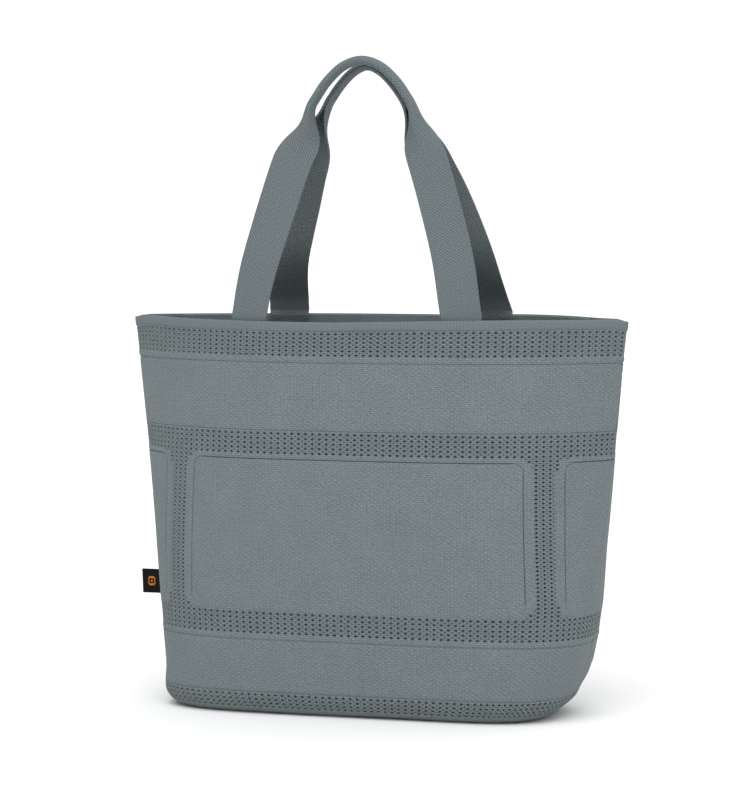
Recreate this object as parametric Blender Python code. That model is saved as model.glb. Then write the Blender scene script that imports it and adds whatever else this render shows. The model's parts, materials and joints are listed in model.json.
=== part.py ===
"""Knitted shopping tote: a soft open-topped bag with two rolled webbing handles.

The bag stands on the floor. X runs across its width, Y through its depth with the front at -Y,
and Z is up. The origin is on the floor, under the middle of the base.
Lengths are in millimetres until a mesh is made.
"""

import math
from functools import lru_cache

import bmesh
import bpy
from mathutils import Vector

MM = 0.001
FRONT = -1
BACK = 1

# Body of the bag
RIM_HEIGHT = 380.0
BASE_HALF_WIDTH = 205.0
MOUTH_HALF_WIDTH = 247.5
WIDTH_BULGE = 1.0
BASE_HALF_DEPTH = 75.0
MOUTH_HALF_DEPTH = 77.0
DEPTH_BULGE = 10.5
BASE_RADIUS = 20.0
BASE_TURN_IN = 3.0
KNIT_THICKNESS = 2.2
SEAM_THICKNESS = 3.8
FIT_GAP = 0.3
STRAIGHT_BAND = 38.0
PANEL_COLUMNS = 36
WALL_ROWS = 8
BEND_ROWS = 4

# Squareness powers of the outline along X and Y: at the base, added at mid height, at the mouth.
# The front is rounder at its corners than the back.
SQUARENESS_X = {FRONT: (5.1, 0.0, 2.7), BACK: (5.8, 0.0, 2.1)}
SQUARENESS_Y = {FRONT: (2.9, -0.45, 1.06), BACK: (4.3, 0.25, 1.08)}

# Base board
BOARD_THICKNESS = 2.0
BOARD_INSET = BASE_RADIUS + 4.0

# Trim inside the mouth and along the side seams
FACING_GAP = 0.5
FACING_THICKNESS = 1.0
FACING_HEIGHT = 24.0
FACING_END_COLUMNS = 3
BINDING_WIDTH = 9.0
BINDING_THICKNESS = 2.4
BINDING_SEAM_GAP = 3.0
BINDING_BOTTOM = 34.0
RIM_STITCH_DROP = 7.5
RIM_STITCH_HEIGHT = 0.9
RIM_STITCH_GAP = 0.5
THREAD_THICKNESS = 0.4

# Webbing
WEBBING_WIDTH = 38.0
WEBBING_THICKNESS = 1.8
STRAP_CENTRE = 108.5
STRAP_END_DEPTH = 32.0
STRAP_END_RISE = 3.5
STRAP_PARTING = 0.5
STRAP_YAW = math.radians(13.0)
STRAP_GAP = 0.5
STRAP_INSET = KNIT_THICKNESS + FACING_GAP + FACING_THICKNESS + STRAP_GAP
HINGE_DISTANCE = 70.0
HINGE_RISE = STRAP_END_RISE + STRAP_PARTING / 2.0
BOX_STITCH_SIZE = 30.0
BOX_STITCH_TOP = 5.0
BOX_STITCH_BAR = 1.6

# Handle: the rolled grip is a flattened tube around a core
GRIP_HALF_THICKNESS = 4.3
GRIP_HALF_DEPTH = 8.2
GRIP_SLIT = 1.2
FRONT_GRIP_Y = -49.5
BACK_GRIP_Y = -29.9
SQUARE_RISE = 60.0
ROLL_START = 162.0
ROLL_END = 196.0
WEBBING_COLUMNS = 12
CORE_SIDES = 10
CORE_CLEARANCE = 0.8
CORE_START = 200.0
HANDLE_STATIONS = 44
GRIP_STITCH_WIDTH = 2.6

# Right half of each handle's centre line, from above the rim to the apex: x, y, height above the
# rim. It starts at the sewn strap end. Both handles lean to the front, and the grips meet there.
FRONT_ARCH = ((94.5, -65.5, 56.0), (75.5, -59.0, 122.0), (61.9, -54.5, 163.5),
              (51.5, -50.5, 197.0), (43.5, FRONT_GRIP_Y, 211.5), (33.3, FRONT_GRIP_Y, 225.5),
              (18.0, FRONT_GRIP_Y, 239.0), (0.0, FRONT_GRIP_Y, 244.5))
BACK_ARCH = ((94.0, 23.0, 56.0), (75.0, 1.0, 113.0), (58.0, -20.5, 155.5),
             (41.0, BACK_GRIP_Y, 198.0), (33.5, BACK_GRIP_Y, 212.0), (22.7, BACK_GRIP_Y, 226.0),
             (12.0, BACK_GRIP_Y, 235.5), (0.0, BACK_GRIP_Y, 240.0))

# Side label, sewn into the left seam
LABEL_LENGTH = 20.0
LABEL_HEIGHT = 24.0
LABEL_THICKNESS = 0.9
LABEL_CENTRE_Z = 113.5
LABEL_SEAM_GAP = 0.9

SLATE = (0.195, 0.235, 0.242)
SLATE_DARK = (0.145, 0.180, 0.188)
THREAD = (0.165, 0.200, 0.208)


def clear_scene():
    """Empty the scene that this script is run in."""
    for item in list(bpy.data.objects):
        bpy.data.objects.remove(item, do_unlink=True)


def make_material(name, colour, roughness, metallic=0.0):
    """A plain Principled material."""
    material = bpy.data.materials.new(name)
    material.use_nodes = True
    shader = material.node_tree.nodes["Principled BSDF"]
    shader.inputs["Base Color"].default_value = (*colour, 1.0)
    shader.inputs["Roughness"].default_value = roughness
    shader.inputs["Metallic"].default_value = metallic
    return material


def add_object(name, points, faces, material, parent=None):
    """Make one closed solid from points in world millimetres."""
    origin = parent.location if parent else Vector((0.0, 0.0, 0.0))
    mesh = bpy.data.meshes.new(name)
    mesh.from_pydata([Vector(point) * MM - origin for point in points], [], faces)
    shell = bmesh.new()
    shell.from_mesh(mesh)
    bmesh.ops.recalc_face_normals(shell, faces=shell.faces)
    shell.to_mesh(mesh)
    shell.free()
    mesh.shade_smooth()
    mesh.set_sharp_from_angle(angle=math.radians(35.0))
    mesh.materials.append(material)
    item = bpy.data.objects.new(name, mesh)
    item.parent = parent
    bpy.context.collection.objects.link(item)
    return item


def slab(name, outer, inner, material, parent=None):
    """A sheet with thickness, between two grids of the same size."""
    rows = len(outer)
    columns = len(outer[0])
    points = [point for grid in (outer, inner) for row in grid for point in row]
    offset = rows * columns
    faces = []
    for row in range(rows - 1):
        for column in range(columns - 1):
            first = row * columns + column
            quad = (first, first + 1, first + columns + 1, first + columns)
            faces.append(quad)
            faces.append(tuple(offset + index for index in reversed(quad)))
    edge = list(range(columns))
    edge += [row * columns + columns - 1 for row in range(1, rows)]
    edge += [(rows - 1) * columns + column for column in range(columns - 2, -1, -1)]
    edge += [row * columns for row in range(rows - 2, 0, -1)]
    for start, end in zip(edge, edge[1:] + edge[:1]):
        faces.append((end, start, start + offset, end + offset))
    return add_object(name, points, faces, material, parent)


def loft(name, loops, material, parent=None):
    """A solid skinned over closed loops, with a flat cap at each end."""
    size = len(loops[0])
    points = [point for loop in loops for point in loop]
    faces = [tuple(range(size)), tuple(range(len(points) - 1, len(points) - size - 1, -1))]
    for ring in range(len(loops) - 1):
        for side in range(size):
            here = ring * size + side
            after = ring * size + (side + 1) % size
            faces.append((here, after, after + size, here + size))
    return add_object(name, points, faces, material, parent)


def blend(first, second, share):
    return first + (second - first) * share


def smooth_step(value, start, end):
    """0 before start, 1 after end, and a smooth rise between them."""
    share = min(max((value - start) / (end - start), 0.0), 1.0)
    return share * share * (3.0 - 2.0 * share)


def bulged(base, bulge, mouth, height):
    """A value that runs evenly from the base to the mouth, with a bulge added at mid height."""
    share = min(max(height / RIM_HEIGHT, 0.0), 1.0)
    return blend(base, mouth, share) + bulge * 4.0 * share * (1.0 - share)


def half_width_at(height):
    return bulged(BASE_HALF_WIDTH, WIDTH_BULGE, MOUTH_HALF_WIDTH, height)


def half_depth_at(height):
    return bulged(BASE_HALF_DEPTH, DEPTH_BULGE, MOUTH_HALF_DEPTH, height)


@lru_cache(maxsize=None)
def quarter_outline(side, height, inset_x, inset_y):
    """Fine polyline of a quarter of one side's outline, from its middle to the side seam.

    Each entry is (distance along the outline, x, depth).
    """
    half_width = half_width_at(height) - inset_x
    half_depth = half_depth_at(height) - inset_y
    power_x = bulged(*SQUARENESS_X[side], height)
    power_y = bulged(*SQUARENESS_Y[side], height)
    fine = 60
    angles = {math.acos((step / fine) ** (power_x / 2.0)) for step in range(fine + 1)}
    angles |= {math.asin((step / fine) ** (power_y / 2.0)) for step in range(fine + 1)}
    line = []
    for angle in sorted(angles, reverse=True):
        x = half_width * max(math.cos(angle), 0.0) ** (2.0 / power_x)
        depth = half_depth * max(math.sin(angle), 0.0) ** (2.0 / power_y)
        run = line[-1][0] + math.hypot(x - line[-1][1], depth - line[-1][2]) if line else 0.0
        line.append((run, x, depth))
    return line


def outline_point(side, height, inset_x, inset_y, run):
    """Point on one side's outline, at a signed distance along it from its middle."""
    line = quarter_outline(side, height, inset_x, inset_y)
    target = min(abs(run), line[-1][0])
    for before, after in zip(line, line[1:]):
        if after[0] >= target:
            break
    span = after[0] - before[0]
    share = (target - before[0]) / span if span > 0.0 else 0.0
    x = math.copysign(blend(before[1], after[1], share), run)
    depth = max(blend(before[2], after[2], share), FIT_GAP / 2.0)
    return Vector((x, side * depth, height))


def half_outline(side, height, inset_x, inset_y, columns):
    """Evenly spaced points from the left side seam to the right one, along one side."""
    length = quarter_outline(side, height, inset_x, inset_y)[-1][0]
    return [outline_point(side, height, inset_x, inset_y, blend(-length, length, column / columns))
            for column in range(columns + 1)]


def seam_inset(height, inset):
    """Inset along X that keeps the same cloth thickness where the mouth comes to a point."""
    return inset * blend(KNIT_THICKNESS, SEAM_THICKNESS, height / RIM_HEIGHT) / KNIT_THICKNESS


def wall_point(side, height, inset, share):
    """Point on one wall at an inset from its outer face, for a share of the way to a seam.

    The wall is straight from below the sewn strap ends up to the rim, and past it.
    """
    low = RIM_HEIGHT - STRAIGHT_BAND
    ends = []
    for level in (low, RIM_HEIGHT):
        across = seam_inset(level, inset)
        length = quarter_outline(side, level, across, inset)[-1][0]
        ends.append(outline_point(side, level, across, inset, share * length))
    return ends[0].lerp(ends[1], (height - low) / STRAIGHT_BAND)


def rim_share(side, run):
    """Share of the way from the middle to a seam, for a distance along the rim."""
    return run / quarter_outline(side, RIM_HEIGHT, 0.0, 0.0)[-1][0]


def panel_rows(side, radius, floor, wall_inset):
    """Rows of points of a panel's skin, from under the base up to the rim."""
    turned = BASE_RADIUS + BASE_TURN_IN
    rows = [half_outline(side, floor, turned, turned, PANEL_COLUMNS)]
    for step in range(BEND_ROWS + 1):
        angle = math.radians(90.0 * step / BEND_ROWS)
        inset = BASE_RADIUS - radius * math.sin(angle)
        height = BASE_RADIUS - radius * math.cos(angle)
        rows.append(half_outline(side, height, inset, inset, PANEL_COLUMNS))
    straight = RIM_HEIGHT - STRAIGHT_BAND
    for step in range(1, WALL_ROWS):
        height = blend(BASE_RADIUS, straight, step / WALL_ROWS)
        across = seam_inset(height, wall_inset)
        rows.append(half_outline(side, height, across, wall_inset, PANEL_COLUMNS))
    for height in (straight, RIM_HEIGHT - FACING_HEIGHT, RIM_HEIGHT):
        rows.append([wall_point(side, height, wall_inset, 2.0 * column / PANEL_COLUMNS - 1.0)
                     for column in range(PANEL_COLUMNS + 1)])
    return rows


def add_knit_panel(name, side, material):
    """Front or back of the bag: seam to seam, and from under the base up to the rim."""
    outer = panel_rows(side, BASE_RADIUS, 0.0, 0.0)
    inner = panel_rows(side, BASE_RADIUS - KNIT_THICKNESS, KNIT_THICKNESS, KNIT_THICKNESS)
    slab(name, outer, inner, material)


def add_base_plate(name, inset, bottom, thickness, material):
    """A flat plate with the outline of the base."""
    front = half_outline(FRONT, 0.0, inset, inset, PANEL_COLUMNS)[1:-1]
    back = half_outline(BACK, 0.0, inset, inset, PANEL_COLUMNS)[-2:0:-1]
    loops = [[point + Vector((0.0, 0.0, level)) for point in front + back]
             for level in (bottom, bottom + thickness)]
    loft(name, loops, material)


def strip_on_panel(name, side, shares, heights, insets, material):
    """A strip that follows the panel, between two insets from its outer face."""
    grids = [[[wall_point(side, height, inset, share) for share in shares] for height in heights]
             for inset in insets]
    slab(name, grids[0], grids[1], material)


def add_rim_trim(prefix, side, cloth, thread):
    """Facing strip inside the rim, and the line of hem stitching outside it."""
    half = PANEL_COLUMNS // 2
    reach = half - FACING_END_COLUMNS
    shares = [column / half for column in range(-reach, reach + 1)]
    outer = KNIT_THICKNESS + FACING_GAP
    strip_on_panel(f"{prefix}_rim_facing", side, shares, (RIM_HEIGHT - FACING_HEIGHT, RIM_HEIGHT),
                   (outer, outer + FACING_THICKNESS), cloth)
    stitch_top = RIM_HEIGHT - RIM_STITCH_DROP
    strip_on_panel(f"{prefix}_rim_stitch", side, shares, (stitch_top - RIM_STITCH_HEIGHT, stitch_top),
                   (-RIM_STITCH_GAP - THREAD_THICKNESS, -RIM_STITCH_GAP), thread)


def add_strap_end(prefix, side, hand, webbing, thread):
    """The sewn end of a strap inside the rim, with its box stitching."""
    centre = hand * STRAP_CENTRE
    shares = [rim_share(side, centre + blend(-0.5, 0.5, step / 6) * WEBBING_WIDTH)
              for step in range(7)]
    bottom = RIM_HEIGHT - STRAP_END_DEPTH
    heights = [blend(bottom, RIM_HEIGHT + STRAP_END_RISE, step / 3) for step in range(4)]
    strip_on_panel(f"{prefix}_strap_end", side, shares, heights,
                   (STRAP_INSET, STRAP_INSET + WEBBING_THICKNESS), webbing)
    behind = STRAP_INSET + WEBBING_THICKNESS + STRAP_GAP
    add_box_stitch(f"{prefix}_box_stitch", side, centre, behind, thread)


def add_box_stitch(name, side, centre, inset, thread):
    """A square of stitching with a cross in it: four bars, two diagonals, four open triangles."""
    half = BOX_STITCH_SIZE / 2.0
    middle = RIM_HEIGHT - BOX_STITCH_TOP - half
    corners = [(-half, -half), (half, -half), (half, half), (-half, half)]
    near = half - BOX_STITCH_BAR
    slant = BOX_STITCH_BAR * math.sqrt(0.5)
    flat = list(corners)
    turns = [(math.cos(math.radians(90.0 * turn)), math.sin(math.radians(90.0 * turn)))
             for turn in range(4)]
    for cosine, sine in turns:
        for x, z in ((-near + slant, -near), (near - slant, -near), (0.0, -slant)):
            flat.append((x * cosine - z * sine, x * sine + z * cosine))
    bars = []
    holes = []
    for turn in range(4):
        following = (turn + 1) % 4
        previous = (turn - 1) % 4
        left, right, tip = (4 + 3 * turn + corner for corner in range(3))
        bars.append((turn, following, right, left))
        bars.append((turn, left, tip, 4 + 3 * previous + 2, 4 + 3 * previous + 1))
        holes.append((left, right, tip))
    bars.append(tuple(4 + 3 * turn + 2 for turn in range(4)))
    rims = [(0, 1, 2, 3)] + [tuple(reversed(hole)) for hole in holes]
    points = []
    for depth in (inset, inset + THREAD_THICKNESS):
        for x, z in flat:
            points.append(wall_point(side, middle + z, depth, rim_share(side, centre + x)))
    size = len(flat)
    faces = list(bars) + [tuple(size + index for index in reversed(bar)) for bar in bars]
    for rim in rims:
        for start, end in zip(rim, rim[1:] + rim[:1]):
            faces.append((end, start, start + size, end + size))
    add_object(name, points, faces, thread)


def add_seam_binding(name, hand, material):
    """The bound seam allowance that stands inward from a side seam."""
    loops = []
    for step in range(9):
        height = blend(BINDING_BOTTOM, RIM_HEIGHT - FACING_HEIGHT - 3.0, step / 8)
        seam = half_width_at(height) - seam_inset(height, KNIT_THICKNESS) - BINDING_SEAM_GAP
        half = BINDING_THICKNESS / 2.0
        loops.append([Vector((hand * x, y, height)) for x, y in
                      ((seam, -half), (seam, half), (seam - BINDING_WIDTH, half),
                       (seam - BINDING_WIDTH, -half))])
    loft(name, loops, material)


def catmull_rom(points, share):
    """Point on a smooth curve through a list of points, for a share from 0 to 1."""
    padded = [points[0] * 2.0 - points[1], *points, points[-1] * 2.0 - points[-2]]
    place = min(share, 1.0 - 1e-9) * (len(points) - 1)
    index = int(place)
    t = place - index
    a, b, c, d = padded[index:index + 4]
    return 0.5 * (2.0 * b + (c - a) * t + (2.0 * a - 5.0 * b + 4.0 * c - d) * t * t
                  + (3.0 * b - a - 3.0 * c + d) * t ** 3)


def arch_stations(side, arch, count):
    """Evenly spaced centre points and tangents of a handle, from its right end to its left."""
    start = wall_point(side, RIM_HEIGHT + STRAP_END_RISE + STRAP_PARTING,
                       STRAP_INSET + WEBBING_THICKNESS / 2.0, rim_share(side, STRAP_CENTRE))
    right = [start] + [Vector((x, y, RIM_HEIGHT + rise)) for x, y, rise in arch]
    left = [Vector((-point.x, point.y, point.z)) for point in reversed(right[:-1])]
    fine = [catmull_rom(right + left, step / 600.0) for step in range(601)]
    runs = [0.0]
    for before, after in zip(fine, fine[1:]):
        runs.append(runs[-1] + (after - before).length)
    stations = []
    index = 1
    for step in range(count + 1):
        target = runs[-1] * step / count
        while index < len(runs) - 1 and runs[index] < target:
            index += 1
        share = (target - runs[index - 1]) / (runs[index] - runs[index - 1])
        point = fine[index - 1].lerp(fine[index], share)
        tangent = (fine[index] - fine[index - 1]).normalized()
        stations.append((point, tangent))
    return stations


def grip_ellipse(half_thickness, half_depth, columns, slit):
    """Mid line of the rolled webbing, from one edge round to the other, open at the slit.

    Each entry is (sideways, outward) from the grip's centre.
    """
    fine = [math.radians(180.0 * step / 400.0) for step in range(401)]
    line = [(half_thickness * math.sin(angle), half_depth * math.cos(angle)) for angle in fine]
    runs = [0.0]
    for before, after in zip(line, line[1:]):
        runs.append(runs[-1] + math.dist(before, after))
    reach = runs[-1] - slit / 2.0
    half = []
    index = 1
    for step in range(columns // 2 + 1):
        target = reach * step / (columns // 2)
        while index < len(runs) - 1 and runs[index] < target:
            index += 1
        share = (target - runs[index - 1]) / (runs[index] - runs[index - 1])
        half.append((blend(line[index - 1][0], line[index][0], share),
                     blend(line[index - 1][1], line[index][1], share)))
    return [(-x, y) for x, y in reversed(half[1:])] + half


def rolled_section(roll):
    """Mid line of the webbing when it is rolled by a share of the way, with its outward normals.

    The webbing turns by the same share of the full roll's angle at every point across it.
    """
    full = grip_ellipse(GRIP_HALF_THICKNESS - WEBBING_THICKNESS / 2.0,
                        GRIP_HALF_DEPTH - WEBBING_THICKNESS / 2.0, WEBBING_COLUMNS, GRIP_SLIT)
    middle = WEBBING_COLUMNS // 2
    flat_step = WEBBING_WIDTH / WEBBING_COLUMNS
    half = [(0.0, full[middle][1] * roll)]
    for before, after in zip(full[middle:], full[middle + 1:]):
        turn = roll * math.atan2(before[1] - after[1], after[0] - before[0])
        step = blend(flat_step, math.dist(before, after), roll)
        half.append((half[-1][0] + step * math.cos(turn), half[-1][1] - step * math.sin(turn)))
    line = [(-x, y) for x, y in reversed(half[1:])] + half
    normals = []
    for index in range(len(line)):
        before = line[max(index - 1, 0)]
        after = line[min(index + 1, len(line) - 1)]
        length = math.dist(before, after)
        normals.append((-(after[1] - before[1]) / length, (after[0] - before[0]) / length))
    return line, normals


def handle_frame(side, point, tangent):
    """Sideways and outward directions of a handle at a point on its centre line.

    At the sewn ends the webbing's rows stay level; higher up they turn square to the centre line.
    """
    rise = point.z - RIM_HEIGHT
    hand = 1.0 if tangent.z > 0.0 else -1.0
    yaw = hand * STRAP_YAW * (1.0 - smooth_step(rise, 0.0, ROLL_START))
    level = Vector((math.sin(yaw), side * math.cos(yaw), 0.0))
    square = (level - tangent * level.dot(tangent)).normalized()
    turn = smooth_step(rise, STRAP_END_RISE, SQUARE_RISE)
    flat = Vector((0.0, 0.0, hand)).cross(level)
    sideways = flat.lerp(tangent.cross(square), turn).normalized()
    return sideways, level.lerp(square, turn).normalized()


def add_handle(prefix, side, arch, pivot, webbing, core, thread):
    """One carrying handle: its webbing, the core of its grip and the grip's closing stitch."""
    stations = arch_stations(side, arch, HANDLE_STATIONS)
    outer = []
    inner = []
    for point, tangent in stations:
        sideways, outward = handle_frame(side, point, tangent)
        rise = point.z - RIM_HEIGHT
        line, normals = rolled_section(smooth_step(rise, ROLL_START, ROLL_END))
        for grid, offset in ((outer, WEBBING_THICKNESS / 2.0), (inner, -WEBBING_THICKNESS / 2.0)):
            grid.append([point + sideways * (x + normal[0] * offset)
                         + outward * (y + normal[1] * offset)
                         for (x, y), normal in zip(line, normals)])
    slab(f"{prefix}_handle_webbing", outer, inner, webbing, pivot)

    grip = [(point, tangent) for point, tangent in stations if point.z > RIM_HEIGHT + CORE_START]
    half_thickness = GRIP_HALF_THICKNESS - WEBBING_THICKNESS - CORE_CLEARANCE
    half_depth = GRIP_HALF_DEPTH - WEBBING_THICKNESS - CORE_CLEARANCE
    core_loops = []
    stitch_loops = []
    for point, tangent in grip:
        sideways, outward = handle_frame(side, point, tangent)
        angles = [math.tau * turn / CORE_SIDES for turn in range(CORE_SIDES)]
        loop = [point + sideways * (half_thickness * math.cos(angle))
                + outward * (half_depth * math.sin(angle)) for angle in angles]
        core_loops.append(loop)
        near = -GRIP_HALF_DEPTH - FIT_GAP
        far = near - THREAD_THICKNESS
        half = GRIP_STITCH_WIDTH / 2.0
        loop = [point + sideways * x + outward * y
                for x, y in ((-half, near), (half, near), (half, far), (-half, far))]
        stitch_loops.append(loop)
    loft(f"{prefix}_grip_core", core_loops, core, pivot)
    loft(f"{prefix}_grip_stitch", stitch_loops, thread, pivot)


def add_pivot(name, x, y, z):
    """An empty on a joint's axis, which the moving pieces hang from."""
    pivot = bpy.data.objects.new(name, None)
    pivot.location = Vector((x, y, z)) * MM
    bpy.context.collection.objects.link(pivot)
    return pivot


def add_side_label(material):
    """The folded label that stands out from the left side seam."""
    low = LABEL_CENTRE_Z - LABEL_HEIGHT / 2.0
    high = LABEL_CENTRE_Z + LABEL_HEIGHT / 2.0
    root = half_width_at(LABEL_CENTRE_Z) + LABEL_SEAM_GAP
    lean = (half_width_at(high) - half_width_at(low)) / LABEL_HEIGHT
    pivot = add_pivot("side_label_pivot", -root, 0.0, LABEL_CENTRE_Z)
    loops = []
    for height in (low, high):
        x = -root - lean * (height - LABEL_CENTRE_Z)
        half = LABEL_THICKNESS / 2.0
        loops.append([Vector((x, -half, height)), Vector((x, half, height)),
                      Vector((x - LABEL_LENGTH, half, height)),
                      Vector((x - LABEL_LENGTH, -half, height))])
    loft("side_label", loops, material, pivot)


def build():
    clear_scene()
    knit = make_material("slate_knit", SLATE, 0.9)
    cloth = make_material("slate_lining_tape", SLATE_DARK, 0.85)
    webbing = make_material("slate_webbing", SLATE, 0.8)
    thread = make_material("slate_thread", THREAD, 0.7)
    board = make_material("grey_board", (0.20, 0.21, 0.22), 0.6)
    core = make_material("undyed_cord", (0.55, 0.54, 0.50), 0.9)
    label = make_material("black_label", (0.012, 0.012, 0.013), 0.6)

    add_base_plate("base_knit_panel", BASE_RADIUS + BASE_TURN_IN + FIT_GAP, 0.0, KNIT_THICKNESS, knit)
    add_base_plate("base_board", BOARD_INSET, KNIT_THICKNESS + FIT_GAP, BOARD_THICKNESS, board)
    add_seam_binding("left_side_seam_binding", -1.0, cloth)
    add_seam_binding("right_side_seam_binding", 1.0, cloth)

    for prefix, side, arch in (("front", FRONT, FRONT_ARCH), ("back", BACK, BACK_ARCH)):
        add_knit_panel(f"{prefix}_knit_panel", side, knit)
        add_rim_trim(prefix, side, cloth, thread)
        for hand_name, hand in (("left", -1.0), ("right", 1.0)):
            add_strap_end(f"{prefix}_{hand_name}", side, hand, webbing, thread)
        pivot = add_pivot(f"{prefix}_handle_pivot", 0.0, side * HINGE_DISTANCE, RIM_HEIGHT + HINGE_RISE)
        add_handle(prefix, side, arch, pivot, webbing, core, thread)
    add_side_label(label)


build()
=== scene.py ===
"""Looks of the knitted shopping tote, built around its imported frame.

X runs across the bag, Y through it with the front at -Y, and Z is up. Lengths are in millimetres
until a mesh is made. The shape functions repeat those of the CAD model, so that every piece lies
in the space of the CAD node that it stands for.
"""

import json
import math

import bmesh
import bpy
import numpy as np
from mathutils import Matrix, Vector

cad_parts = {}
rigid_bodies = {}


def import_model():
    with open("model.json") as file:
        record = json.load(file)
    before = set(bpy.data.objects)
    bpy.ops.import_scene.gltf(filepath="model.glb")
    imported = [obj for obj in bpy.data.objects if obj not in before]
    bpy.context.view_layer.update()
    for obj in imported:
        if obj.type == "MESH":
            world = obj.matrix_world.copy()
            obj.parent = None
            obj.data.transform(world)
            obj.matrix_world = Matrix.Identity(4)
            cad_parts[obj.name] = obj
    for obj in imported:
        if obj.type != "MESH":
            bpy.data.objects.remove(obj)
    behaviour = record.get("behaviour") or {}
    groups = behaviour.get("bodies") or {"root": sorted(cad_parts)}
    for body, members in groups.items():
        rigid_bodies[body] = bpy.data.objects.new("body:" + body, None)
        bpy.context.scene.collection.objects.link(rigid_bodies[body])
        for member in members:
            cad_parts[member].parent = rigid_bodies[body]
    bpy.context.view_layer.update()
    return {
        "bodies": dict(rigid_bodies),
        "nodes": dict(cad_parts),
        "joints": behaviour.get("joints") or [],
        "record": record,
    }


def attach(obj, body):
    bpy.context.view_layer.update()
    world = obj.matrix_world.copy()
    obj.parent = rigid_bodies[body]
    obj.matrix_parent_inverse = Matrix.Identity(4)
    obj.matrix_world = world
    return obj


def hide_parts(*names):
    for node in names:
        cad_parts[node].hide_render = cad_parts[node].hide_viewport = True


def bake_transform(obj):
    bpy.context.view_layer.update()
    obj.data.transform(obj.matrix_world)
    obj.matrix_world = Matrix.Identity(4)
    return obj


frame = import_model()

MM = 0.001
FRONT = -1
BACK = 1
SIDES = (("front", FRONT), ("back", BACK))
HANDS = (("left", -1.0), ("right", 1.0))

# Body of the bag, as in the CAD model
RIM_HEIGHT = 380.0
BASE_HALF_WIDTH = 205.0
MOUTH_HALF_WIDTH = 247.5
WIDTH_BULGE = 1.0
BASE_HALF_DEPTH = 75.0
MOUTH_HALF_DEPTH = 77.0
DEPTH_BULGE = 10.5
BASE_RADIUS = 20.0
BASE_TURN_IN = 3.0
KNIT_THICKNESS = 2.2
SEAM_THICKNESS = 3.8
STRAIGHT_BAND = 38.0
SQUARENESS_X = {FRONT: (5.1, 0.0, 2.7), BACK: (5.8, 0.0, 2.1)}
SQUARENESS_Y = {FRONT: (2.9, -0.45, 1.06), BACK: (4.3, 0.25, 1.08)}
SEAM_HALF_GAP = 0.35
CREASE_ANGLE = math.radians(38.0)

# Straps and handles, as in the CAD model
WEBBING_WIDTH = 38.0
WEBBING_THICKNESS = 1.8
STRAP_CENTRE = 108.5
STRAP_END_DEPTH = 32.0
STRAP_END_RISE = 3.5
STRAP_PARTING = 0.5
STRAP_YAW = math.radians(13.0)
STRAP_INSET = 4.2
GRIP_HALF_THICKNESS = 4.3
GRIP_HALF_DEPTH = 8.2
GRIP_SLIT = 1.2
FRONT_GRIP_Y = -49.5
BACK_GRIP_Y = -29.9
SQUARE_RISE = 60.0
ROLL_START = 148.0
ROLL_END = 205.0
FRONT_ARCH = ((94.5, -65.5, 56.0), (75.5, -59.0, 122.0), (61.9, -54.5, 163.5),
              (51.5, -50.5, 197.0), (43.5, FRONT_GRIP_Y, 211.5), (33.3, FRONT_GRIP_Y, 225.5),
              (18.0, FRONT_GRIP_Y, 239.0), (0.0, FRONT_GRIP_Y, 244.5))
BACK_ARCH = ((94.0, 23.0, 56.0), (75.0, 1.0, 113.0), (58.0, -20.5, 155.5),
             (41.0, BACK_GRIP_Y, 198.0), (33.5, BACK_GRIP_Y, 212.0), (22.7, BACK_GRIP_Y, 226.0),
             (12.0, BACK_GRIP_Y, 235.5), (0.0, BACK_GRIP_Y, 240.0))

# Knit lattice: diamond cells on half columns and half rows
HALF_COLUMNS = 76
FRAME_ROWS = 76
CLOTH_HALF_WIDTH = 264.0
HEM_HALF_WIDTH = 266.0
COLUMN_PITCH = CLOTH_HALF_WIDTH / HALF_COLUMNS
COLUMN_SPREAD = 0.033
# a half column and a half row of the mesh, which turn the sizes of the holes into places
HALF_COLUMN_WIDTH = 3.47
HALF_ROW_HEIGHT = 2.2
BIG_HOLE = (1.62, 1.15)
SMALL_HOLE = (1.05, 0.75)
HOLE_ROUNDING = 0.25
PIT_DEPTH = 1.75
PIT_FLOOR = 0.8
DIMPLE_ROUNDING = 0.15
DIMPLE_DEPTH = 1.4
MESH_SINK = 0.35
GROOVE_DEPTH = 0.55
GROOVE_HALF_WIDTH = 0.9
BORDER_RISE = 0.35
SEAM_SINK = 0.25

# Painted shade of the hollows, darkening the knit's colour: of the mesh, a millimetre of a pit, the
# inner face, grooves and frame lines
MESH_SHADE = 0.04
PIT_SHADE = 0.63
INNER_SHADE = 0.25
GROOVE_SHADE = 0.35
FRAME_SHADE = 0.22

# Framed panels: their edges and corners, and the lines inside them, in half columns from the middle
FRAME_TOP = 251.4
FRAME_BOTTOM = 101.9
FRAME_CORNER = 11.0
STRIP_INNER = 50
STRIP_OUTER = 57
TOP_LINE_INSET = 3.8
INNER_LINE = 47.25
OUTER_LINE = 59.1
# the column that carries each upright line, and where it is drawn to
FRAME_LINES = ((48, INNER_LINE), (59, OUTER_LINE))

HEM_BOTTOM = 371.8

# Zones of the knit from under the hem down: (level at the zone's lower edge, half rows, kind)
ZONES = (
    (345.1, 12, "mesh"),
    (340.3, 2, "border"),
    (338.5, 2, "groove"),
    (275.9, 18, "plain"),
    (274.1, 2, "groove"),
    (FRAME_TOP, 10, "mesh"),
    (FRAME_BOTTOM, FRAME_ROWS, "frame"),
    (78.9, 10, "mesh"),
    (75.1, 2, "border"),
    (73.3, 2, "groove"),
    (24.0, 14, "plain"),
    (22.2, 2, "groove"),
    (4.6, 8, "mesh"),
    (-14.4, 6, "plain"),
)


def blend(first, second, share):
    return first + (second - first) * share


def smooth_step(value, start, end):
    """0 before start, 1 after end, and a smooth rise between them."""
    share = np.clip((value - start) / (end - start), 0.0, 1.0)
    return share * share * (3.0 - 2.0 * share)


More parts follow.
